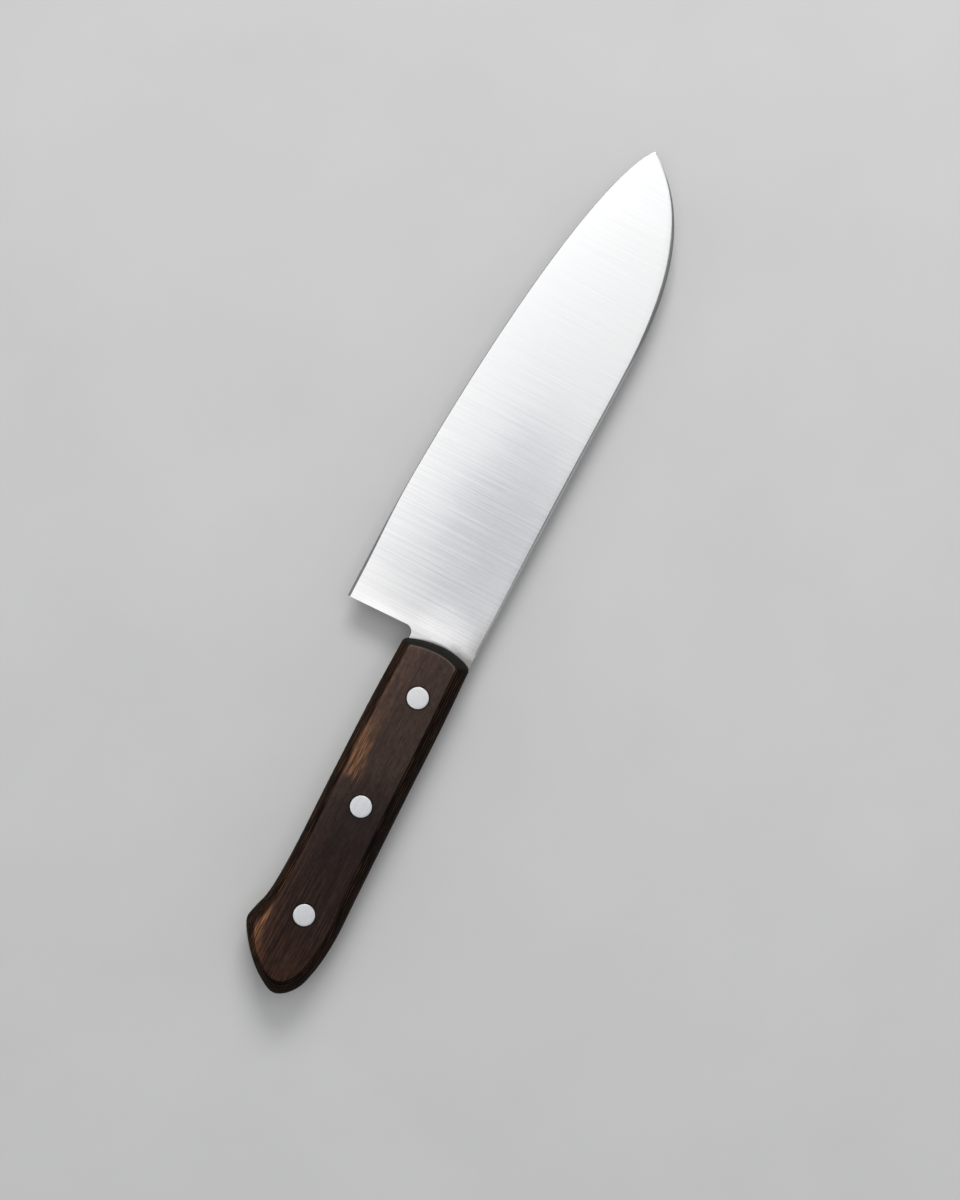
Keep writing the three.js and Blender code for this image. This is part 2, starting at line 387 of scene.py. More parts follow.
def roll_width(x):
    """Width of the spine's rounding, which is never over a quarter of the blade's height."""
    width = ROLL_AT_HANDLE
    for start, end, reached in ROLL_WIDTHS:
        width = lerp(width, reached, smoothstep(x, start, end))
    return min(width, (edge_y(x) - spine_y(x)) / 4)


def shoulder_half(x):
    """Half of the thickness behind the cutting bevel, whose angle stays the same along the blade."""
    return SHOULDER_T / 2 * bevel_width(x) / BEVEL_HEEL


def ground_half(x, y):
    """Half of the steel's thickness on the ground face, before the spine is rounded over."""
    top, bottom = spine_y(x), edge_y(x)
    along = clamp((x - HEEL_X) / (OVERALL - HEEL_X))
    full = EDGE_Y - SPINE_START[1]
    spine = lerp(STEEL_T, TIP_T, along**TAPER_POWER) / 2 * min(1, (bottom - top) / full * NOSE_THINNING)
    shoulder = bottom - bevel_width(x)
    up = clamp((shoulder - y) / max(shoulder - top, TINY))
    bellied = (1 + GRIND_BELLY) * up - GRIND_BELLY * up * up
    ground = lerp(shoulder_half(x), max(spine, shoulder_half(x)), bellied)
    plunge = (1 - smoothstep(x, TANG_END_X, PLUNGE_END_X)) * (1 - smoothstep(y, *PLUNGE_FADE_Y))
    return lerp(ground, STEEL_T / 2, plunge)


# The blade's mesh has lines across it, each of an upper and a lower part. The tang's have only the upper.
UP, DOWN = 1, -1  # its two faces
FACE_STEPS = 14
LOWER_STEPS = 22
ARC_STEPS = 5  # over each half of the notch's round
HALF_ROUND = math.pi / 4
TANG_START_X = 112.0
TANG_LINES = 6
# Start, end and spacing of the runs of lines from the notch to the nose.
LINE_RUNS = ((122.8, 140, 0.9), (141, 225, 3.0), (226, 282, 1.5))
TIP_LINES = (9, 8, 7, 6, 5, 4.2, 3.5, 2.8, 2.2, 1.7, 1.2, 0.8, 0.5, 0.25, 0.1)  # back from the tip
HEEL_BEND = 9  # how far from the heel the lines still lean with it
MIDDLE_FROM = 150  # x from which the two parts of a line are as long as each other


def notch_point(angle):
    """The point of the notch's round that far round it from the tang's straight edge."""
    return (NOTCH_X - NOTCH_R + NOTCH_R * math.sin(angle), NOTCH_Y + NOTCH_R * (1 - math.cos(angle)))


def tang_edge_y(x):
    """The tang's lower edge, straight and then over the first half of the notch's round."""
    sine = clamp((x - NOTCH_X + NOTCH_R) / NOTCH_R)
    return NOTCH_Y + NOTCH_R * (1 - math.sqrt(1 - sine * sine))


def middle_y(x):
    """The mesh line that splits the blade lengthwise, from the tang's lower edge to the tip."""
    start = notch_point(HALF_ROUND)[1]
    return lerp(start, lerp(spine_y(x), edge_y(x), 0.5), smoothstep(x, HEEL_X, MIDDLE_FROM))


def blade_stations():
    """x of every crosswise mesh line, and the index of the first with a lower part."""
    xs = list(np.linspace(TANG_START_X, NOTCH_X - NOTCH_R, TANG_LINES))
    xs += [notch_point(HALF_ROUND * i / ARC_STEPS)[0] for i in range(1, ARC_STEPS + 1)]
    first = len(xs) - 1
    for run in LINE_RUNS:
        xs += list(np.arange(*run))
    xs += [OVERALL - back for back in TIP_LINES]
    return xs, first


def upper_row(x, lower_y):
    """(y, z) points from the spine's crest over its rounding and down the face to lower_y."""
    top = spine_y(x)
    roll = roll_width(x)
    points = []
    for across, up in catmull_rom(ROLL_SHAPE, ROLL_STEPS)[:-1]:
        points.append((top + roll * float(across), ground_half(x, top + roll) * float(up)))
    for i in range(FACE_STEPS + 1):
        y = lerp(top + roll, lower_y, i / FACE_STEPS)
        points.append((y, ground_half(x, y)))
    return points


def heel_line():
    """The heel's back edge from the middle of the notch's round to the corner, as (x, y) points."""
    points = [notch_point(HALF_ROUND * (1 + i / ARC_STEPS)) for i in range(ARC_STEPS + 1)]
    start = points[-1]
    shoulder = (HEEL_X, EDGE_Y - BEVEL_HEEL)
    straight_steps = LOWER_STEPS - ARC_STEPS
    for i in range(1, straight_steps + 1):
        t = i / straight_steps
        points.append((lerp(start[0], shoulder[0], t), lerp(start[1], shoulder[1], t)))
    points.append((HEEL_X, EDGE_Y))
    return points


def upper_column(bm, x, lower_y):
    """Vertices over both faces along a mesh line's upper part, from the crest that they share."""
    (crest_y, _), *rest = upper_row(x, lower_y)
    crest = bm.verts.new(place(x, crest_y, 0))
    return {face: [crest] + [bm.verts.new(place(x, y, face * z)) for y, z in rest] for face in (UP, DOWN)}


def lower_column(bm, x, upper_y, heel, upper):
    """The same along its lower part, which leans with the heel near it and ends in the edge."""
    start_x, start_y = heel[0]
    lean = 1 - smoothstep(x, start_x, start_x + HEEL_BEND)
    points = []
    for heel_x, heel_y in heel[1:-1]:
        share = (heel_y - start_y) / (heel[-2][1] - start_y)
        px = x + (heel_x - start_x) * lean
        py = lerp(upper_y, edge_y(px) - bevel_width(px), share)
        points.append((px, py, ground_half(px, py)))
    edge_x = x + (HEEL_X - start_x) * lean
    edge = bm.verts.new(place(edge_x, edge_y(edge_x), 0))
    column = {}
    for face in (UP, DOWN):
        along = [bm.verts.new(place(px, py, face * half)) for px, py, half in points]
        column[face] = [upper[face][-1], *along, edge]
    return column


def add_walls(bm, uppers, lowers, first):
    """The narrow faces: under the tang and round the notch, down the heel, and at the very tip."""
    for a, b in zip(uppers[:first], uppers[1 : first + 1]):
        bm.faces.new((a[UP][-1], b[UP][-1], b[DOWN][-1], a[DOWN][-1]))
    bridge(bm, lowers[0][UP], lowers[0][DOWN])
    over_tip = uppers[-1][UP] + lowers[-1][UP][1:]
    under_tip = uppers[-1][DOWN] + lowers[-1][DOWN][1:]
    bm.faces.new(over_tip + under_tip[-2:0:-1])


def make_blade(material):
    bm = bmesh.new()
    xs, first = blade_stations()
    heel = heel_line()
    uppers, lowers = [], []
    for i, x in enumerate(xs):
        split_y = tang_edge_y(x) if i <= first else middle_y(x)
        uppers.append(upper_column(bm, x, split_y))
        if i >= first:
            lowers.append(lower_column(bm, x, split_y, heel, uppers[-1]))
    for face in (UP, DOWN):
        for columns in (uppers, lowers):
            for a, b in zip(columns, columns[1:]):
                bridge(bm, a[face], b[face])
    add_walls(bm, uppers, lowers, first)
    add_tang(bm, uppers[0])
    shoulders = []
    for face in (UP, DOWN):
        shoulders += [bm.edges.get((a[face][-2], b[face][-2])) for a, b in zip(lowers, lowers[1:])]
    add_piece("blade_steel", bm, "blade", material, sharp_deg=24, creases=shoulders)


TANG_PROUD = 0.08  # how far the steel stands out of the wood all round the handle
TANG_STEPS = 6


def tang_outline():
    """The tang's outline behind the blade's first mesh line, just proud of the scales' widest one."""
    points = catmull_rom([row[:2] for row in SIDE_ROWS], TANG_STEPS)
    outline = []
    for i, point in enumerate(points):
        before, after = points[max(i - 1, 0)], points[min(i + 1, len(points) - 1)]
        run = (after - before) / np.linalg.norm(after - before)
        out = np.array((-run[1], run[0]))
        if point[0] < (TANG_START_X - 1 if point[1] < 0 else TANG_FLUSH_TO):
            outline.append(point + out * TANG_PROUD)
    return outline


def add_tang(bm, column):
    """The flat tang, joined to the blade's first mesh line."""
    outline = tang_outline()
    radius = SOCKET_R + FIT
    rims, holes = {}, {}
    for face in (UP, DOWN):
        z = face * STEEL_T / 2
        rims[face] = [bm.verts.new(place(x, y, z)) for x, y in outline]
        holes[face] = [(ring_of(bm, x, z, radius), ((x, 0), radius)) for x in RIVET_X.values()]
        fill(bm, rims[face] + column[face][::-1], holes[face])
    bridge(bm, rims[UP], rims[DOWN])
    for (upper, _), (lower, _) in zip(holes[UP], holes[DOWN]):
        bridge(bm, upper, lower, closed=True)
    bm.faces.new((column[UP][0], rims[UP][0], rims[DOWN][0]))
    bm.faces.new((rims[UP][-1], column[UP][-1], column[DOWN][-1], rims[DOWN][-1]))


# ---------- Scales ----------

FACE_CROWN = 0.2  # how far the face falls away to its edge
CROWN_REACH = 7.0  # how far in from the edge that begins
FACE_SOFT = 0.3  # rounding between the side and the face
SOFT_STEPS = 5
CORNER_CUT = (1.5, 1.0)  # how far the front corners are rounded, on the widest outline and on the face
CORNER_STEPS = 7
OUTLINE_STEPS = 9
RIM_WIDTH = 2.5  # how far from the face's edge the wood still differs
# Shares of a side's height at which its mesh has a ring, closer together where it turns to the face.
HEIGHTS = (0, 0.12, 0.24, 0.35, 0.45, 0.54, 0.62, 0.7, 0.77, 0.83, 0.88, 0.92, 0.96)
FACE_STEP = 1.6  # between points of the face's mesh, in rows that are a little closer
FACE_ROW_STEP = 0.87 * FACE_STEP
CLEAR_OF_EDGE = 0.6 * FACE_STEP
CLEAR_OF_HEAD = 0.6


def blend_rows(rows, share):
    return [(lerp(a, c, share), lerp(b, d, share)) for a, b, c, d in rows]


def trimmed(points, cut):
    """The same curve without its first and last stretch of that length, with as many points."""
    points = np.array(points)
    index = np.arange(len(points))
    along = np.concatenate(([0], np.cumsum(np.linalg.norm(np.diff(points, axis=0), axis=1))))
    ends = np.interp((cut, along[-1] - cut), along, index)
    chosen = np.linspace(*ends, len(points))
    return np.stack([np.interp(chosen, index, points[:, k]) for k in (0, 1)], axis=1)


def rounded(before, corner, after):
    """Points inside a corner, on a quadratic curve between its two neighbours."""
    ts = np.arange(1, CORNER_STEPS)[:, None] / CORNER_STEPS
    return before * (1 - ts) ** 2 + corner * 2 * ts * (1 - ts) + after * ts**2


def handle_ring(share):
    """The closed outline that lies that share of the way from the widest outline to the face's."""
    side = catmull_rom(blend_rows(SIDE_ROWS, share), OUTLINE_STEPS)
    front = catmull_rom(blend_rows(FRONT_ROWS, share), OUTLINE_STEPS)
    belly_corner, spine_corner = side[-1], side[0]
    cut = lerp(*CORNER_CUT, share)
    side, front = trimmed(side, cut), trimmed(front, cut)
    lower = rounded(side[-1], belly_corner, front[0])
    upper = rounded(front[-1], spine_corner, side[0])
    return np.concatenate((side, lower, front, upper))


def drawn_in(ring, distance):
    """A closed outline moved inwards."""
    run = np.roll(ring, -1, axis=0) - np.roll(ring, 1, axis=0)
    run /= np.linalg.norm(run, axis=1, keepdims=True)
    return ring + np.stack((run[:, 1], -run[:, 0]), axis=1) * distance


def at_height(ring, z):
    return np.column_stack((ring, np.full(len(ring), z)))


def from_edge(face, x, y):
    """Distance from a point to the face's outline."""
    return np.linalg.norm(face - (x, y), axis=1).min()


def crown_z(face, x, y):
    """Height of the gently crowned face above the middle of the steel."""
    return FACE - FACE_CROWN * (1 - min(from_edge(face, x, y) / CROWN_REACH, 1)) ** 2


def scale_rings(widest, face):
    """Closed rows of (x, y, z) points from the steel up the side and over its rounded top corner."""
    side_t = SCALE_T - FACE_CROWN
    rings = []
    for height in HEIGHTS:
        drawn = widest + (face - widest) * height**SIDE_POWER
        rings.append(at_height(drawn, STEEL_T / 2 + height * side_t))
    last = rings[-1]
    corner = at_height(face, STEEL_T / 2 + side_t)
    inner_z = crown_z(face, *face[0]) + FACE_CROWN * 2 * FACE_SOFT / CROWN_REACH
    inner = at_height(drawn_in(face, FACE_SOFT), inner_z)
    for i in range(1, SOFT_STEPS + 1):
        t = i / SOFT_STEPS
        rings.append(last * (1 - t) ** 2 + corner * 2 * t * (1 - t) + inner * t * t)
    return rings


def add_bores(bm, side):
    """The rivets' bores, wider for the heads. Returns their lower and upper ends as holes to fill round."""
    tube, head = SOCKET_R + FIT, HEAD_R + FIT
    ends = ((STEEL_T / 2, tube), (UNDER_HEAD, tube), (UNDER_HEAD, head), (FACE, head))
    under, top = [], []
    for x in RIVET_X.values():
        rings = [ring_of(bm, x, side * z, radius) for z, radius in ends]
        for a, b in zip(rings, rings[1:]):
            bridge(bm, a, b, closed=True)
        under.append((rings[0], ((x, 0), tube)))
        top.append((rings[-1], ((x, 0), head)))
    return under, top


def face_points(face):
    """Points spread evenly over the face, clear of its edge and of the rivet heads."""
    limit = drawn_in(face, FACE_SOFT + CLEAR_OF_EDGE)
    head = HEAD_R + FIT + CLEAR_OF_HEAD
    low, high = face.min(axis=0), face.max(axis=0)
    points = []
    for i, y in enumerate(np.arange(low[1], high[1], FACE_ROW_STEP)):
        for x in np.arange(low[0] + FACE_STEP / 2 * (i % 2), high[0], FACE_STEP):
            clear = all(math.hypot(x - rivet_x, y) > head for rivet_x in RIVET_X.values())
            if clear and inside((x, y), limit):
                points.append((float(x), float(y)))
    return points


def make_scale(name, side, material):
    """One scale; side is 1 above the steel and -1 below it."""
    bm = bmesh.new()
    rim = bm.verts.layers.float.new("rim")
    widest, face = handle_ring(0), handle_ring(1)
    rings = scale_rings(widest, face)
    rows = [[bm.verts.new(place(x, y, side * z)) for x, y, z in ring] for ring in rings]
    for a, b in zip(rows, rows[1:]):
        bridge(bm, a, b, closed=True)
    under, top = add_bores(bm, side)
    fill(bm, rows[0], under)
    fill(bm, rows[-1], top, face_points(face), lambda x, y: side * crown_z(face, x, y))
    for vertex in bm.verts:
        vertex[rim] = 1 - min(from_edge(face, *knife_xy(vertex)) / RIM_WIDTH, 1)
    add_piece(name + "_wood", bm, name, material, sharp_deg=28)


# ---------- Rivets ----------


HEAD_SOFT = 0.12  # rounding of a head's rim
RIM_STEPS = 4
HEAD_CROWN = 0.04  # how far the head falls away to that rim
HEAD_RINGS = (0.8, 0.5, 0.2, 0)  # shares of its radius at which its face has a ring


def head_profile(inner_r):
    """A flush head's outline from its underside to the middle of its face, as (radius, height)."""
    points = [(inner_r, -HEAD_T), (HEAD_R, -HEAD_T)]
    for i in range(RIM_STEPS + 1):
        angle = math.pi / 2 * i / RIM_STEPS
        out = HEAD_R - HEAD_SOFT * (1 - math.cos(angle))
        points.append((out, -HEAD_CROWN - HEAD_SOFT * (1 - math.sin(angle))))
    for share in HEAD_RINGS:
        points.append((HEAD_R * share, -HEAD_CROWN * share**2))
    return points


def make_rivet(place_name, material):
    """The two halves of one rivet, pressed together: a tube with a head above, a pin with a head below."""
    x = RIVET_X[place_name]
    bore_end = UNDER_HEAD - BORE_ROOF
    tube_end = TUBE_GAP - UNDER_HEAD
    socket = [(0, bore_end), (BORE_R, bore_end), (BORE_R, tube_end), (SOCKET_R, tube_end)]
    socket += [(r, FACE + z) for r, z in head_profile(SOCKET_R)]
    pin_end = bore_end - PIN_GAP
    pin = [(0, pin_end), (PIN_R, pin_end)]
    pin += [(r, -FACE - z) for r, z in head_profile(PIN_R)]
    for half, profile in (("socket", socket), ("pin", pin)):
        node = f"{place_name}_rivet_{half}"
        add_piece(node + "_metal", turned(profile, x), node, material, sharp_deg=40)


# ---------- Materials ----------


def srgb(*channels):
    """A colour given as sRGB from 0 to 255, as the linear values that shaders take."""
    return tuple(((c / 255 + 0.055) / 1.055) ** 2.4 if c > 10 else c / 255 / 12.92 for c in channels)


class Recipe:
    """A material's node tree, with one short call for each kind of node."""

    def __init__(self, name):
        self.material = bpy.data.materials.new(name)
        self.material.use_nodes = True
        self.tree = self.material.node_tree
        self.shader = self.tree.nodes["Principled BSDF"]
        coordinates = self.add("ShaderNodeTexCoord").outputs["Object"]
        mapping = self.add("ShaderNodeMapping")
        self.tree.links.new(coordinates, mapping.inputs["Vector"])
        mapping.inputs["Scale"].default_value = (1 / MM,) * 3
        mapping.inputs["Location"].default_value = -ORIGIN / MM
        self.point = mapping.outputs["Vector"]
        split = self.add("ShaderNodeSeparateXYZ")
        self.tree.links.new(self.point, split.inputs["Vector"])
        self.x, self.y, self.z = split.outputs

    def add(self, kind, **settings):
        node = self.tree.nodes.new(kind)
        for key, value in settings.items():
            setattr(node, key, value)
        return node

    def feed(self, socket, value):
        """Links an output into a socket, or sets a constant on it."""
        if isinstance(value, bpy.types.NodeSocket):
            self.tree.links.new(value, socket)
        elif isinstance(value, tuple) and socket.type == "RGBA":
            socket.default_value = (*value, 1)
        else:
            socket.default_value = value

    def math(self, operation, *values, clip=False):
        node = self.add("ShaderNodeMath", operation=operation, use_clamp=clip)
        for socket, value in zip(node.inputs, values):
            self.feed(socket, value)
        return node.outputs["Value"]

    def chain(self, operation, value, *others):
        """One operation carried through several values."""
        for other in others:
            value = self.math(operation, value, other)
        return value

    def scaled(self, value, gain, offset=0.0):
        return self.math("MULTIPLY_ADD", value, gain, offset)

    def total(self, *parts):
        """The sum of (value, gain) pairs."""
        return self.chain("ADD", *(self.scaled(value, gain) for value, gain in parts))

    def shifted(self, value, noise, reach):
        """value moved by a noise, up to that reach either way."""
        return self.math("ADD", value, self.scaled(noise, 2 * reach, -reach))

    def steps(self, value, low, high, out_low=0.0, out_high=1.0):
        """value carried smoothly from low..high to out_low..out_high, held at both ends."""
        node = self.add("ShaderNodeMapRange", interpolation_type="SMOOTHSTEP")
        for socket, number in zip(node.inputs, (value, low, high, out_low, out_high)):
            self.feed(socket, number)
        return node.outputs["Result"]

    def noise(self, size, detail=2.0, rough=0.5, shift=(0, 0, 0), distort=0.0):
        """Noise from 0 to 1 whose grains have that size in millimetres along x, y and z; 0 is endless."""
        mapping = self.add("ShaderNodeMapping")
        self.tree.links.new(self.point, mapping.inputs["Vector"])
        mapping.inputs["Scale"].default_value = [1 / s if s else 0 for s in size]
        mapping.inputs["Location"].default_value = shift
        node = self.add("ShaderNodeTexNoise")
        self.feed(node.inputs["Vector"], mapping.outputs["Vector"])
        self.feed(node.inputs["Scale"], 1.0)
        self.feed(node.inputs["Detail"], detail)
        self.feed(node.inputs["Roughness"], rough)
        self.feed(node.inputs["Distortion"], distort)
        return node.outputs["Fac"]

    def ramp(self, value, stops):
        """A colour read off evenly blended (position, colour) stops."""
        node = self.add("ShaderNodeValToRGB")
        elements = node.color_ramp.elements
        while len(elements) < len(stops):
            elements.new(0.5)
        for element, (position, colour) in zip(elements, stops):
            element.position = position
            element.color = (*colour, 1)
        self.feed(node.inputs["Fac"], value)
        return node.outputs["Color"]

    def mix(self, amount, a, b, kind="MIX"):
        node = self.add("ShaderNodeMix", data_type="RGBA", blend_type=kind)
        self.feed(node.inputs["Factor"], amount)
        for name, value in (("A", a), ("B", b)):
            socket = next(s for s in node.inputs if s.name == name and s.type == "RGBA")
            self.feed(socket, value)
        return next(s for s in node.outputs if s.type == "RGBA")

    def times(self, colour, factors):
        return self.mix(1.0, colour, factors, "MULTIPLY")

    def distance(self, across, along):
        squared = [self.math("MULTIPLY", side, side) for side in (across, along)]
        return self.math("SQRT", self.math("ADD", *squared))

    def away(self, centre, radii):
        """Distance in x and y from a centre, which is 1 on the oval with those radii."""
        sides = zip((self.x, self.y), centre, radii)
        return self.distance(*(self.scaled(side, 1 / r, -c / r) for side, c, r in sides))

    def bump(self, height, depth_mm, strength=1.0, normal=None):
        """A normal from a height of 0 to 1 that stands for that many millimetres."""
        node = self.add("ShaderNodeBump")
        self.feed(node.inputs["Strength"], strength)
        self.feed(node.inputs["Distance"], depth_mm * MM)
        self.feed(node.inputs["Height"], height)
        if normal:
            self.feed(node.inputs["Normal"], normal)
        return node.outputs["Normal"]

    def finish(self, **inputs):
        for name, value in inputs.items():
            self.feed(self.shader.inputs[name.replace("_", " ")], value)
        return self.material


def brushing(r):
    """Lines brushed straight across the blade, most marked near the heel: their tone and their height."""
    broad = r.noise((0.9, 90, 0), 2, 0.55, (31, 7, 0))
    fine = r.noise((0.3, 24, 0), 2, 0.6, (11, 3, 0))
    grit = r.noise((0.5, 0.9, 0), 2, 0.6, (2, 17, 0))
    lines = r.steps(r.total((broad, 0.38), (fine, 0.46), (grit, 0.16)), 0.36, 0.64)
    shown = r.math("MULTIPLY", r.steps(r.x, 160, 230, 1.0, 0.2), r.steps(r.y, 6, 26, 1.0, 0.6))
    tone = r.math("MULTIPLY", r.scaled(lines, 1.0, -0.5), shown)
    return r.scaled(tone, 1.0, 0.5), r.math("MULTIPLY", fine, shown)


def steel_colour(r, tone, cloud):
    """Satin steel, with a painted reflection that makes the middle of the blade duller and bluer, and
    painted highlights that brighten it by the handle and round the heel.
    """
    colour = r.mix(tone, (0.545, 0.547, 0.555), (0.685, 0.687, 0.691))
    colour = r.mix(r.steps(cloud, 0.35, 0.7, 0.0, 0.35), colour, (0.63, 0.625, 0.617))
    # Painted shade: the middle of the blade is made duller and bluer, a dark reflection from above drawn
    # into the colour.
    from_middle = r.shifted(r.away((168, 0), (46, 25)), cloud, 0.25)
    painted_middle_shade = r.steps(from_middle, 0.1, 1.0, 1.0, 0.0)
    colour = r.mix(painted_middle_shade, colour, r.times(colour, (0.85, 0.86, 0.88)))
    # Painted highlight: the steel by the handle is brightened.
    painted_handle_highlight = r.steps(r.x, 122, 139, 1.0, 0.0)
    colour = r.mix(painted_handle_highlight, colour, r.times(colour, (1.1, 1.09, 1.08)))
    # Painted highlight: a brighter patch round the heel.
    painted_heel_highlight = r.steps(r.away((128, 2.8), (9, 11)), 0.2, 1.1, 1.0, 0.0)
    return r.mix(painted_heel_highlight, colour, r.times(colour, (1.2, 1.195, 1.19)))


def painted_shade_and_joint_line(r):
    """Painted shade on the steel where the spine runs into the handle, standing for the handle's dark
    reflection, and a dark line along the handle's bowed front.
    """
    shade_x = r.shifted(r.x, r.noise((2.4, 3, 0), 2, 0.5), 1.5)
    # Painted shade: darker steel in the corner by the handle and along the spine there, standing for the
    # handle's dark reflection.
    corner = r.math("MULTIPLY", r.steps(shade_x, 120.5, 125.5, 0.85, 0.0), r.steps(r.y, -5, 1, 1.0, 0.0))
    spine = r.math("MULTIPLY", r.steps(shade_x, 122, 141, 1.0, 0.0), r.steps(r.y, -10, -4.5, 0.45, 0.0))
    front = r.scaled(r.math("MULTIPLY", r.y, r.y), -FRONT_BOW, FRONT_X)
    joint = r.steps(r.math("SUBTRACT", r.x, front), 0.0, 0.9, 0.85, 0.0)
    return r.chain("MAXIMUM", joint, corner, spine)


def brushed_steel():
    r = Recipe("brushed_steel")
    tone, height = brushing(r)
    cloud = r.noise((34, 26, 0), 3, 0.55, (5, 2, 0))
    # The painted shade by the handle and the dark line along its front are drawn in this dark grey.
    colour = r.mix(painted_shade_and_joint_line(r), steel_colour(r, tone, cloud), (0.24, 0.225, 0.21))
    rough = r.math("ADD", r.scaled(tone, -0.02, 0.25), r.scaled(cloud, 0.04))
    tangent = r.add("ShaderNodeTangent", direction_type="UV_MAP", uv_map="brushing")
    r.feed(r.shader.inputs["Tangent"], tangent.outputs["Tangent"])
    normal = r.bump(height, 0.0012)
    return r.finish(Base_Color=colour, Roughness=rough, Metallic=1.0, Anisotropic=0.7, Normal=normal)


def rivet_steel():
    """Sanded rivet heads: fine scratches lengthwise over a faint blotchiness."""
    r = Recipe("rivet_metal")
    scratch = r.noise((8, 0.22, 0), 3, 0.65)
    blotch = r.noise((1.6, 1.2, 4), 2, 0.5, (4, 9, 1))
    tone = r.total((scratch, 0.6), (blotch, 0.4))
    colour = r.ramp(tone, ((0.3, (0.6, 0.605, 0.615)), (0.7, (0.73, 0.735, 0.74))))
    rough = r.scaled(tone, 0.16, 0.3)
    return r.finish(Base_Color=colour, Roughness=rough, Metallic=1.0, Normal=r.bump(scratch, 0.006))


PLY = 0.74  # thickness of a veneer with its glue line
TOP_GOLD = 7.5  # height above the steel of the highest pale line
FIRST_LAYER = 40.5  # the number of the layer there: pale lines lie on halves, and none is below zero
LINE_FADE = 9.0  # length over which a pale line comes and goes
LINE_APART = 7.31  # how far apart two neighbouring lines read the noise that fades them
SIDE_TOP = SCALE_T - FACE_CROWN  # height above the steel at which a side meets the face

# The outer veneer's brown at shares of BROWN_LENGTH from the butt. Its lighter, greyer stops towards the
# front are a painted sheen.
BROWN_LENGTH = 120.0
BROWNS_AND_SHEEN = (
    (0.03, srgb(58, 37, 28)),
    (0.2, srgb(46, 33, 28)),
    (0.42, srgb(41, 30, 27)),
    (0.53, srgb(43, 34, 31)),
    (0.68, srgb(62, 49, 43)),
    (1.0, srgb(69, 55, 50)),
)


class WoodRecipe(Recipe):
    """A scale's wood, which knows where the scale's sides are and has noises of its own."""

    def __init__(self, name, side, shift):
        super().__init__(name)
        self.shift = shift
        self.height = self.scaled(self.z, float(side), -STEEL_T / 2)
        self.rim = self.add("ShaderNodeAttribute", attribute_name="rim").outputs["Fac"]
        self.on_side = self.steps(self.height, SIDE_TOP - 0.12, SIDE_TOP + 0.05, 1.0, 0.0)

    def own_noise(self, size, detail, rough, shift, distort=0.0):
        """A noise that differs from the other scale's."""
        return self.noise(size, detail, rough, (self.shift + shift[0], shift[1], 0), distort)


def veneer_lines(r):
    """Pale veneers cut by the sides: wavy lines round them, which come and go along the handle."""
    above = r.math("SUBTRACT", r.height, TOP_GOLD)
    above = r.shifted(above, r.own_noise((70, 16, 0), 1, 0.5, (0, 0)), 0.25)
    above = r.shifted(above, r.own_noise((16, 3, 0), 2, 0.5, (3, 0)), 0.08)
    layer = r.math("ADD", r.math("DIVIDE", above, PLY), FIRST_LAYER)
    off_line = r.math("ABSOLUTE", r.math("SUBTRACT", r.math("FRACT", layer), 0.5))
    spot = r.add("ShaderNodeCombineXYZ")
    r.feed(spot.inputs["X"], r.math("DIVIDE", r.x, LINE_FADE))
    r.feed(spot.inputs["Y"], r.math("MULTIPLY", r.math("FLOOR", layer), LINE_APART))
    r.feed(spot.inputs["Z"], float(r.shift))
    fade = r.add("ShaderNodeTexNoise")
    r.feed(fade.inputs["Vector"], spot.outputs["Vector"])
    r.feed(fade.inputs["Scale"], 1.0)
    r.feed(fade.inputs["Detail"], 2.0)
    strength = r.steps(fade.outputs["Fac"], 0.36, 0.6, 0.12, 1.0)
    return r.chain("MULTIPLY", r.steps(off_line, 0.07, 0.24, 1.0, 0.0), strength, r.on_side)


def outer_veneer(r, grain, mottle):
    """Dark brown, warmer and more strongly grained at the butt, with painted sheen lighter towards the
    front and the belly, and painted shade on the sides.
    """
    broad = r.own_noise((26, 9, 8), 2, 0.5, (9, 4))
    # The brown ramp carries a painted sheen towards the front.
    brown = r.ramp(r.shifted(r.math("DIVIDE", r.x, BROWN_LENGTH), broad, 0.1), BROWNS_AND_SHEEN)
    grained = r.mix(r.steps(grain, 0.33, 0.65), (0.42, 0.4, 0.4), (1.45, 1.38, 1.3))
    brown = r.mix(r.steps(r.x, 22, 58, 1.0, 0.3), brown, r.times(brown, grained))
    brown = r.times(brown, r.mix(r.steps(mottle, 0.3, 0.7), (0.77, 0.79, 0.84), (1.23, 1.19, 1.14)))
    # Painted sheen: the face is lightened towards the belly, most near its edge.
    painted_belly_sheen = r.math("MULTIPLY", r.steps(r.y, 2.5, 9.5), r.steps(r.rim, 0.2, 0.9, 0.55, 1.0))
    brown = r.mix(painted_belly_sheen, brown, r.times(brown, (1.9, 1.75, 1.65)))
    # Painted shade: the sides are darkened almost to black.
    return r.mix(r.on_side, brown, r.times(brown, (0.036, 0.03, 0.026)))


def pale_veneer(r, streak):
    """The pale veneers' gold, with painted shade that dims it on the sides, most towards the spine."""
    gold = r.mix(r.steps(streak, 0.38, 0.66), srgb(94, 63, 46), srgb(166, 118, 80))
    # Painted shade: the gold is dimmed on the sides, more on the spine's side.
    painted_side_shade = r.math("MULTIPLY", r.on_side, r.steps(r.y, -5, 5, 0.9, 0.72))
    return r.mix(painted_side_shade, gold, r.times(gold, (0.13, 0.113, 0.1)))


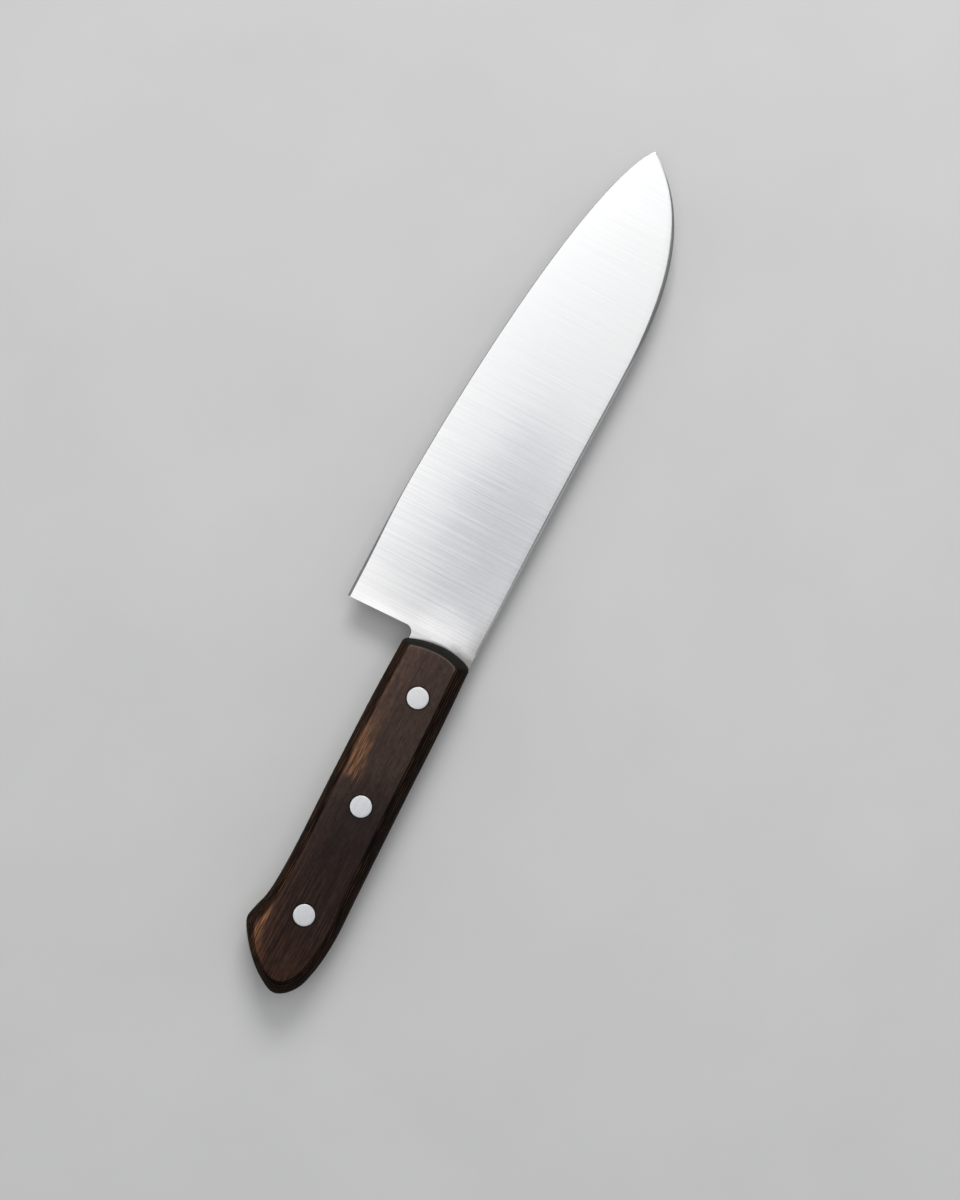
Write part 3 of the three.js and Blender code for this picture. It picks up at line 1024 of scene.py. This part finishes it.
def worn_patches(r, streak, patches):
    """Patches where the rounded face is sanded through to the next veneer."""
    ragged = r.own_noise((5, 1.6, 0), 2, 0.6, (6, 3))
    spots = []
    for start, length, y, spread, slant, strength in patches:
        along = r.shifted(r.math("SUBTRACT", r.x, start), streak, 7.5)
        across = r.math("SUBTRACT", r.math("SUBTRACT", r.y, y), r.math("MULTIPLY", along, slant))
        across = r.math("ABSOLUTE", r.shifted(across, ragged, 1.2))
        lead = r.steps(along, -1.0, 1.4)
        tail = r.steps(along, length * 0.3, length, 1.0, 0.0)
        width = r.steps(across, spread * 0.35, spread, 1.0, 0.0)
        depth = r.steps(r.rim, 0.0, 1.0, 0.7 * strength, strength)
        spots.append(r.chain("MULTIPLY", lead, tail, width, depth))
    return r.math("MULTIPLY", r.chain("MAXIMUM", *spots), r.steps(streak, 0.34, 0.64, 0.3, 1.0))


def with_front(r, colour):
    """End grain on the handle's front, and a painted highlight, a greyer line, where that meets the face.
    """
    facing = r.add("ShaderNodeSeparateXYZ")
    r.feed(facing.inputs["Vector"], r.add("ShaderNodeNewGeometry").outputs["Normal"])
    front = r.math("MULTIPLY", r.steps(facing.outputs["X"], 0.3, 0.6), r.steps(r.x, 112, 117))
    ends = r.noise((0.5, 0.3, 0.3), 3, 0.7)
    colour = r.mix(front, colour, r.ramp(ends, ((0.3, srgb(19, 18, 17)), (0.7, srgb(38, 37, 34)))))
    on_face = r.scaled(r.on_side, -1.0, 1.0)
    # Painted highlight: a greyer line where the front meets the face.
    corner = r.chain("MULTIPLY", r.steps(r.rim, 0.72, 0.95), r.steps(r.x, 115.5, 118.0), on_face)
    return r.mix(r.scaled(corner, 0.7), colour, srgb(112, 104, 94))


def with_rivet_rims(r, colour):
    """A dark line in the wood round each rivet."""
    away = [r.distance(r.math("SUBTRACT", r.x, rivet_x), r.y) for rivet_x in RIVET_X.values()]
    ring = r.steps(r.chain("MINIMUM", *away), HEAD_R + 0.1, HEAD_R + 0.75, 0.75, 0.0)
    return r.mix(ring, colour, srgb(16, 13, 12))


def laminated_wood(name, side, patches, shift):
    """Dark laminated wood: veneers lie parallel to the steel, and pale ones show where they are cut."""
    r = WoodRecipe(name, side, shift)
    grain = r.own_noise((14, 0.5, 1.2), 3, 0.6, (7, 1), 0.4)
    pores = r.own_noise((3.4, 0.16, 0.4), 2, 0.6, (1, 5))
    mottle = r.own_noise((1.9, 1.1, 2), 3, 0.65, (2, 8))
    streak = r.own_noise((9, 0.42, 0), 3, 0.6, (4, 2), 0.3)
    cut = r.math("MAXIMUM", veneer_lines(r), worn_patches(r, streak, patches), clip=True)
    colour = r.mix(cut, outer_veneer(r, grain, mottle), pale_veneer(r, streak))
    colour = with_rivet_rims(r, with_front(r, colour))
    # Open pores are dark, and everywhere between them the height is 1.
    height = r.steps(pores, 0.3, 0.42)
    colour = r.mix(r.scaled(height, -0.45, 0.45), colour, srgb(14, 10, 8))
    rough = r.math("ADD", r.scaled(mottle, 0.14, 0.4), r.scaled(height, -0.1, 0.1))
    rough = r.math("ADD", rough, r.scaled(r.on_side, 0.42))
    normal = r.bump(grain, 0.03, 0.5, r.bump(height, 0.03, 0.6))
    r.feed(r.shader.inputs["Specular IOR Level"], 0.1)
    return r.finish(Base_Color=colour, Roughness=rough, Normal=normal)


# Each patch: its start and length along x, its middle's y, half its width, its slant and its strength.
LEFT_PATCHES = (
    (73, 26, 7.2, 3.9, 0.13, 1.0),
    (9.5, 15, 8.4, 2.4, 0.3, 1.0),
    (17, 13, 11.0, 2.0, -0.05, 1.0),
)
RIGHT_PATCHES = (
    (46, 24, 7.6, 3.2, -0.02, 0.8),
    (10, 18, 8.8, 2.8, 0.05, 0.8),
    (88, 15, -5.2, 2.0, 0.0, 0.5),
)

steel = brushed_steel()
rivet_metal = rivet_steel()
make_blade(steel)
make_scale("scale_left", 1, laminated_wood("laminated_wood_left", 1, LEFT_PATCHES, 0))
make_scale("scale_right", -1, laminated_wood("laminated_wood_right", -1, RIGHT_PATCHES, 53))
for rivet in RIVETS:
    make_rivet(rivet, rivet_metal)

# ---------- Stage, light and camera, in metres ----------

FLOOR_SIZE = 8


def floor_paint():
    """Pale matt paint with a faint unevenness."""
    r = Recipe("floor_paint")
    cloud = r.noise((60, 60, 60), 4, 0.6)
    colour = r.ramp(cloud, ((0.3, (0.66, 0.66, 0.655)), (0.7, (0.69, 0.69, 0.685))))
    return r.finish(Base_Color=colour, Roughness=0.85)


def make_floor():
    bm = bmesh.new()
    bmesh.ops.create_grid(bm, x_segments=1, y_segments=1, size=FLOOR_SIZE)
    mesh = bpy.data.meshes.new("floor")
    bm.to_mesh(mesh)
    bm.free()
    floor = bpy.data.objects.new("floor", mesh)
    floor.location.z = cad_low.z
    bpy.context.collection.objects.link(floor)
    mesh.materials.append(floor_paint())


def area_light(name, spot, size, power, colour=(1, 1, 1), aim=(0, 0, 0)):
    data = bpy.data.lights.new(name, "AREA")
    data.shape = "RECTANGLE"
    data.size, data.size_y = size
    data.energy = power
    data.color = colour
    lamp = bpy.data.objects.new(name, data)
    lamp.location = spot
    direction = Vector(aim) - Vector(spot)
    lamp.rotation_euler = direction.to_track_quat("-Z", "Y").to_euler()
    bpy.context.collection.objects.link(lamp)


CEILING = 1.6
LAMP_POWER = 4  # an area lamp's power for each square metre and each unit of brightness


def ceiling_panel(name, x_span, y_span, brightness, colour=(1, 1, 1)):
    size = (x_span[1] - x_span[0], y_span[1] - y_span[0])
    middle = (sum(x_span) / 2, sum(y_span) / 2)
    power = brightness * LAMP_POWER * size[0] * size[1]
    area_light(name, (*middle, CEILING), size, power, colour, aim=(*middle, 0))


def make_lights():
    """A ceiling for the blade to mirror, dimmest above the handle, and a lower light for the shadows."""
    ceiling_panel("tip_panel", (0.17, 1.2), (-0.8, 0.6), 1.11)
    ceiling_panel("edge_panel", (-0.8, 0.17), (0.17, 0.6), 1.27)
    ceiling_panel("handle_panel", (-0.8, 0.17), (-0.8, 0.17), 0.37, (0.96, 0.985, 1.04))
    area_light("key", (1.25, 0.45, 1.2), (0.8, 0.6), 15)


CAMERA_HEIGHT = 0.7  # above the floor
CAMERA_OVER = (140.4, -3.0)  # the knife point straight below the camera, in knife millimetres
LENS_MM = 65.3
SENSOR_MM = 36
ROLL_DEG = 27.65  # how far the knife leans clockwise from upright, as the camera sees it


def make_camera():
    """A camera that looks straight down."""
    data = bpy.data.cameras.new("camera")
    data.lens = LENS_MM
    data.sensor_width = SENSOR_MM
    camera = bpy.data.objects.new("camera", data)
    bpy.context.collection.objects.link(camera)
    spot = place(*CAMERA_OVER, 0)
    spot.z = cad_low.z + CAMERA_HEIGHT
    roll = math.radians(ROLL_DEG)
    up = Vector((math.cos(roll), math.sin(roll), 0))
    right = Vector((math.sin(roll), -math.cos(roll), 0))
    turn = Matrix((right, up, right.cross(up))).transposed()
    camera.matrix_world = Matrix.Translation(spot) @ turn.to_4x4()
    bpy.context.scene.camera = camera


WORLD_COLOUR = (0.985, 0.99, 1.0, 1)
WALLS_TO = 0.3  # how steeply up a view still meets the walls, as the sine of its angle
CEILING_FROM = 0.7  # and from where on it meets the ceiling
WALL_LEVEL = 0.5
CEILING_LEVEL = 0.2


def make_world():
    """Pale studio walls round the horizon under a darker ceiling."""
    world = bpy.data.worlds.new("studio")
    world.use_nodes = True
    nodes, links = world.node_tree.nodes, world.node_tree.links
    up = nodes.new("ShaderNodeSeparateXYZ")
    links.new(nodes.new("ShaderNodeTexCoord").outputs["Generated"], up.inputs["Vector"])
    level = nodes.new("ShaderNodeMapRange")
    level.interpolation_type = "SMOOTHSTEP"
    links.new(up.outputs["Z"], level.inputs[0])
    for socket, number in zip(level.inputs[1:5], (WALLS_TO, CEILING_FROM, WALL_LEVEL, CEILING_LEVEL)):
        socket.default_value = number
    background = nodes["Background"]
    background.inputs["Color"].default_value = WORLD_COLOUR
    links.new(level.outputs["Result"], background.inputs["Strength"])
    bpy.context.scene.world = world


make_floor()
make_camera()
make_world()
make_lights()
bpy.context.scene.view_settings.view_transform = "Standard"
